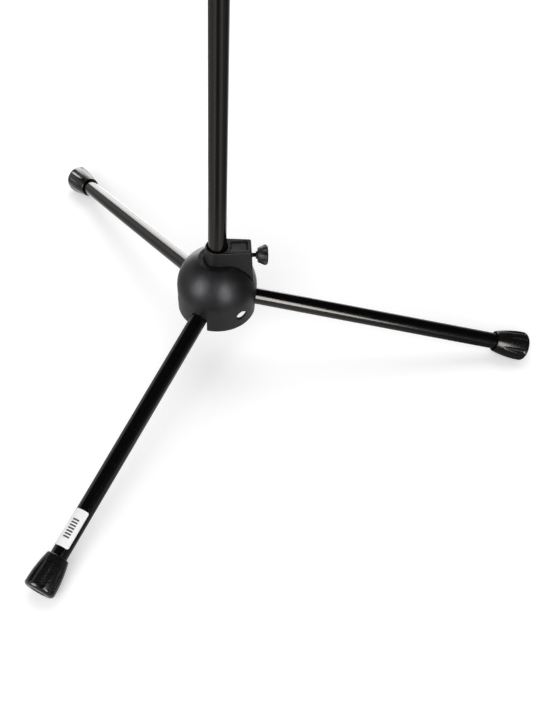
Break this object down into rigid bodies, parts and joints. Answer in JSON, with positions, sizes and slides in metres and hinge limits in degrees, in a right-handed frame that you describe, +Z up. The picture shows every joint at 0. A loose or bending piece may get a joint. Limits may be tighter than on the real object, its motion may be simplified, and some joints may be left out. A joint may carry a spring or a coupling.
{
  "type": "microphone stand",
  "caption": "Folding tripod microphone stand: domed hub with a thumb-screw clamp, round legs with fluted feet, and a telescopic pole with a twist clutch and a threaded end.",
  "frame": {"origin": "on the floor, under the pole's axis", "axes": "+Z up along the pole, +X along leg b and the thumb screw, so leg a is at -120 degrees and leg c at +120 degrees about +Z"},
  "size_m": [0.563, 0.6458, 1.0079],
  "materials": {
    "hub_plastic": "dark grey moulded plastic with a fine satin grain",
    "knob_plastic": "dark grey satin plastic",
    "clutch_plastic": "near-black satin plastic",
    "inner_plastic": "plain dark grey nylon, hidden",
    "black_steel": "gloss black coating on steel tube",
    "foot_rubber": "shiny black moulded rubber",
    "zinc_steel": "zinc-plated steel",
    "sticker_paper": "white film with a soft sheen"
  },
  "bodies": {
    "base": {"hub_housing": "hub_plastic", "clamp_insert": "knob_plastic", "clamp_nut": "zinc_steel", "clamp_shoe": "inner_plastic", "pivot_screw_a": "zinc_steel", "pivot_screw_b": "zinc_steel", "pivot_screw_c": "zinc_steel", "pivot_nut_a": "zinc_steel", "pivot_nut_b": "zinc_steel", "pivot_nut_c": "zinc_steel"},
    "leg_a": {"leg_tube_a": "black_steel", "leg_heel_a": "inner_plastic", "foot_a": "foot_rubber", "leg_sticker": "sticker_paper"},
    "leg_b": {"leg_tube_b": "black_steel", "leg_heel_b": "inner_plastic", "foot_b": "foot_rubber"},
    "leg_c": {"leg_tube_c": "black_steel", "leg_heel_c": "inner_plastic", "foot_c": "foot_rubber"},
    "thumb_screw": {"thumb_stud": "zinc_steel", "thumb_knob": "knob_plastic"},
    "pole": {"lower_tube": "black_steel", "locking_cone": "inner_plastic", "pole_plug": "inner_plastic", "cone_screw": "zinc_steel", "clutch_body": "clutch_plastic", "clutch_collet": "inner_plastic"},
    "clutch": {"clutch_grip": "clutch_plastic"},
    "upper_pole": {"upper_tube": "black_steel", "guide_bush": "inner_plastic", "thread_end": "zinc_steel"},
    "disc": {"lock_disc": "knob_plastic"}
  },
  "joints": [
    {"name": "leg_a_fold", "type": "hinge", "parent": "base", "child": "leg_a", "pos_m": [-0.0131, -0.02269, 0.11021], "axis": [0.866, -0.5, 0], "range_deg": [0, 74.22]},
    {"name": "leg_b_fold", "type": "hinge", "parent": "base", "child": "leg_b", "pos_m": [0.0262, 0, 0.11021], "axis": [0, 1, 0], "range_deg": [0, 74.22]},
    {"name": "leg_c_fold", "type": "hinge", "parent": "base", "child": "leg_c", "pos_m": [-0.0131, 0.02269, 0.11021], "axis": [-0.866, -0.5, 0], "range_deg": [0, 74.22]},
    {"name": "thumb_screw_turn", "type": "hinge", "parent": "base", "child": "thumb_screw", "pos_m": [0.0414, 0, 0.16741], "axis": [1, 0, 0], "range_deg": [0, 720]},
    {"name": "pole_lift", "type": "slide", "parent": "base", "child": "pole", "axis": [0, 0, 1], "range_m": [0, 0.022]},
    {"name": "clutch_turn", "type": "hinge", "parent": "pole", "child": "clutch", "pos_m": [0, 0, 0.87761], "axis": [0, 0, 1], "range_deg": [0, 90]},
    {"name": "upper_pole_slide", "type": "slide", "parent": "pole", "child": "upper_pole", "axis": [0, 0, 1], "range_m": [-0.084, 0.54]},
    {"name": "disc_turn", "type": "hinge", "parent": "upper_pole", "child": "disc", "pos_m": [0, 0, 0.99421], "axis": [0, 0, 1], "range_deg": [0, 360]}
  ]
}
